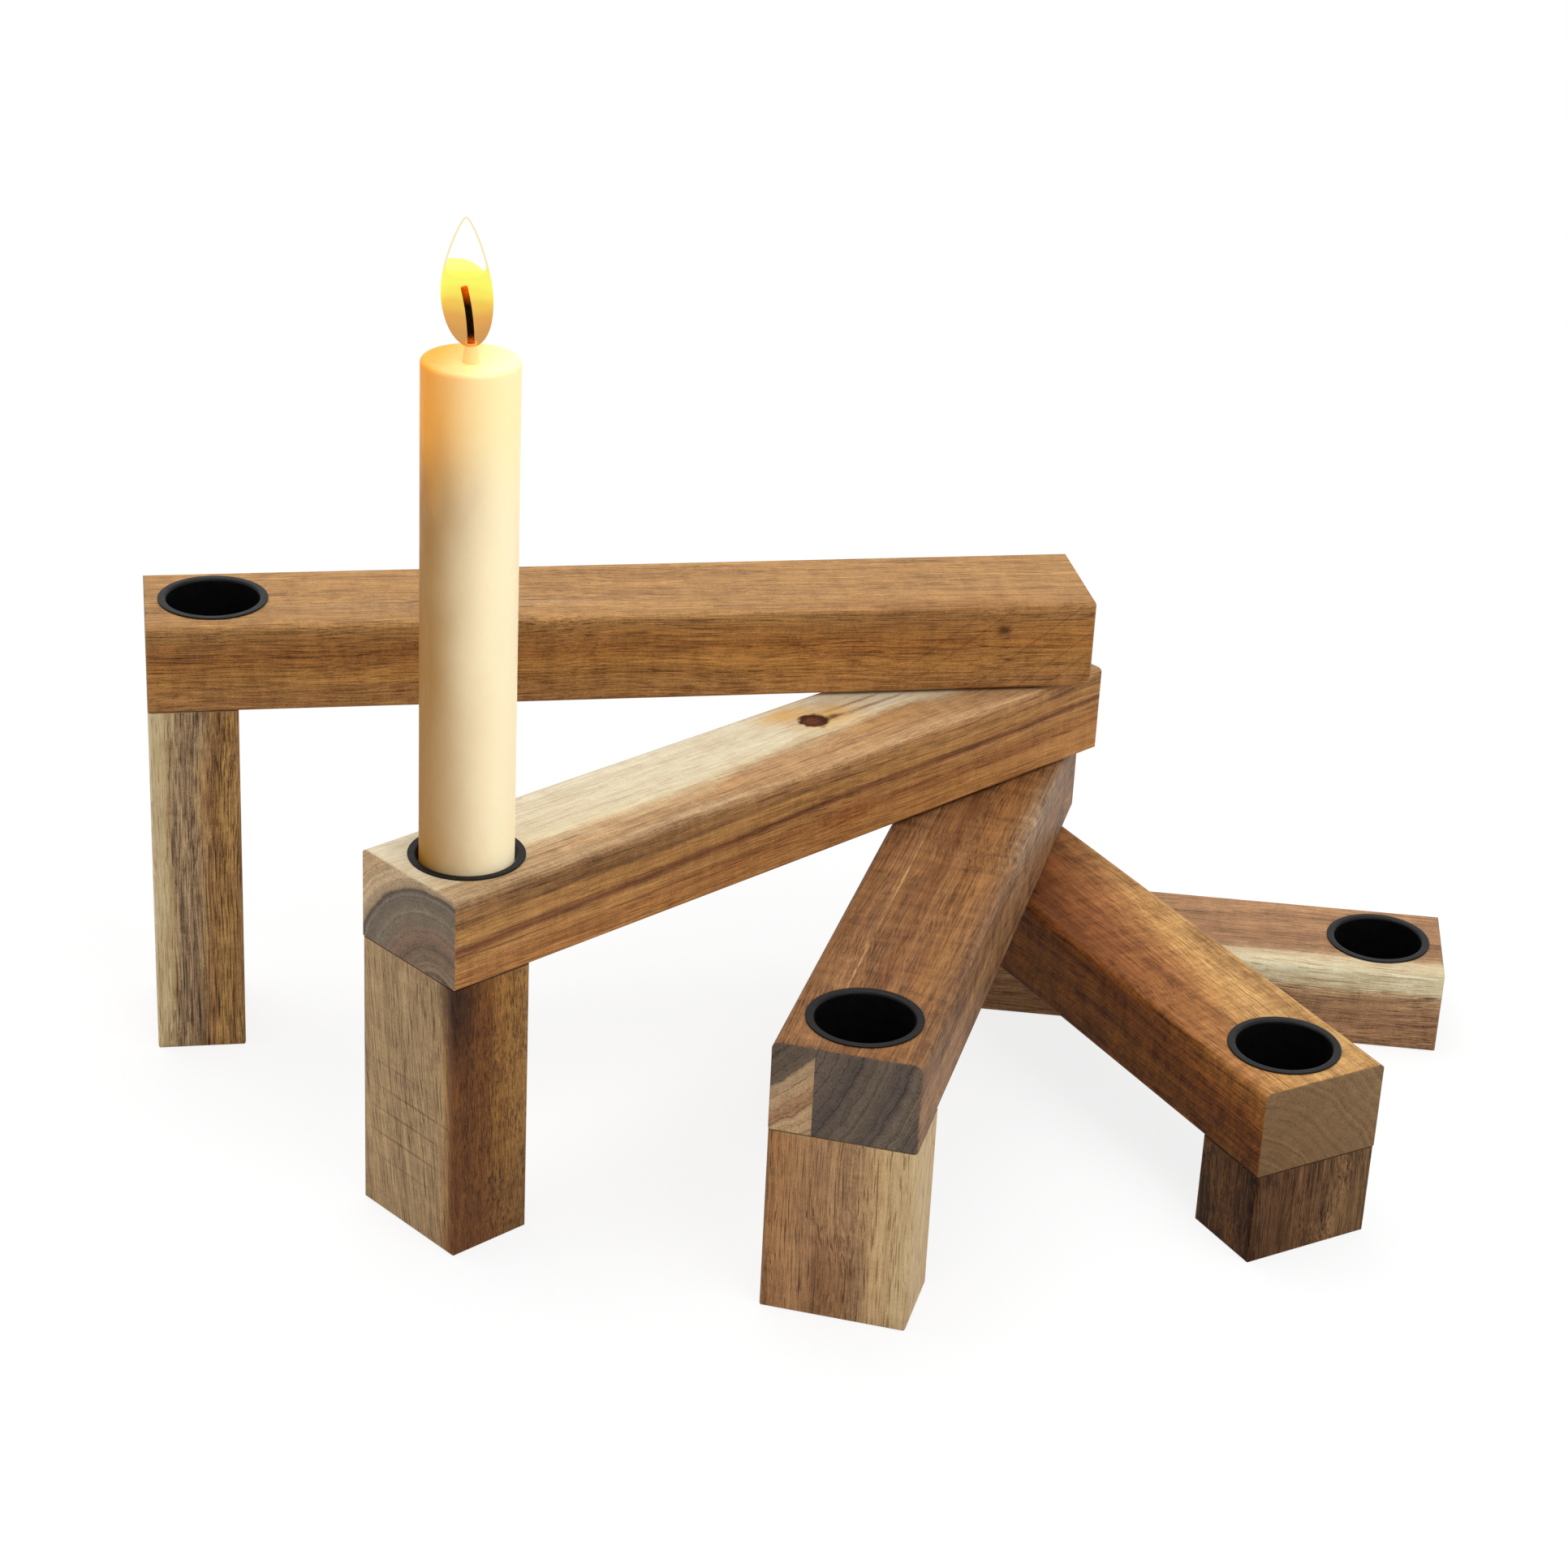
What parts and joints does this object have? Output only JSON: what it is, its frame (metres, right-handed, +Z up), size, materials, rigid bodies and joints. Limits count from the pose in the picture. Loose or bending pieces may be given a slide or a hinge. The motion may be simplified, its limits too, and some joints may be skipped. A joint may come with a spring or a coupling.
{
  "type": "swivel advent candle holder",
  "caption": "Fan of stacked wooden bars that swivel on a common bolt, each on a leg stepping down, with a metal candle cup near each free end and a taper candle.",
  "frame": {"origin": "on the pivot axis at the height of the table top", "axes": "+Z up along the pivot axis, +X along the base bar towards its candle cup"},
  "size_m": [0.3499, 0.2027, 0.238],
  "materials": {
    "wood_arm_1": "oiled acacia, satin",
    "wood_arm_2": "oiled acacia, satin",
    "wood_arm_3": "oiled acacia, satin",
    "wood_arm_4": "oiled acacia, satin",
    "wood_arm_5": "oiled acacia, satin",
    "wood_leg_1": "oiled acacia, satin",
    "wood_leg_2": "oiled acacia, satin",
    "wood_leg_3": "oiled acacia, satin",
    "wood_leg_4": "oiled acacia, satin",
    "black_cup": "satin black coating",
    "zinc_steel": "zinc plated",
    "nylon": "natural nylon",
    "brass": "turned brass",
    "wax": "ivory candle wax",
    "wick": "burnt braided cotton"
  },
  "bodies": {
    "base": {"arm_5": "wood_arm_5", "cup_5": "black_cup", "slip_washer_4": "nylon"},
    "bar_4": {"arm_4": "wood_arm_4", "leg_4": "wood_leg_4", "cup_4": "black_cup", "leg_screws_4": "zinc_steel", "slip_washer_3": "nylon"},
    "bar_3": {"arm_3": "wood_arm_3", "leg_3": "wood_leg_3", "cup_3": "black_cup", "leg_screws_3": "zinc_steel", "slip_washer_2": "nylon"},
    "bar_2": {"arm_2": "wood_arm_2", "leg_2": "wood_leg_2", "cup_2": "black_cup", "leg_screws_2": "zinc_steel", "slip_washer_1": "nylon"},
    "bar_1": {"arm_1": "wood_arm_1", "leg_1": "wood_leg_1", "cup_1": "black_cup", "leg_screws_1": "zinc_steel", "pivot_bolt": "zinc_steel", "head_washer": "zinc_steel", "threaded_insert": "brass"},
    "candle": {"candle": "wax", "wick": "wick"}
  },
  "joints": [
    {"name": "swivel_1", "type": "hinge", "parent": "base", "child": "bar_1", "pos_m": [0, 0, 0.098], "axis": [0, 0, 1], "range_deg": [-316, 22]},
    {"name": "swivel_2", "type": "hinge", "parent": "base", "child": "bar_2", "pos_m": [0, 0, 0.0735], "axis": [0, 0, 1], "range_deg": [-22, 316]},
    {"name": "swivel_3", "type": "hinge", "parent": "base", "child": "bar_3", "pos_m": [0, 0, 0.049], "axis": [0, 0, 1], "continuous": true},
    {"name": "swivel_4", "type": "hinge", "parent": "base", "child": "bar_4", "pos_m": [0, 0, 0.0245], "axis": [0, 0, 1], "continuous": true},
    {"name": "candle_lift", "type": "slide", "parent": "bar_2", "child": "candle", "axis": [0, 0, 1], "range_m": [0, 0.03]}
  ]
}
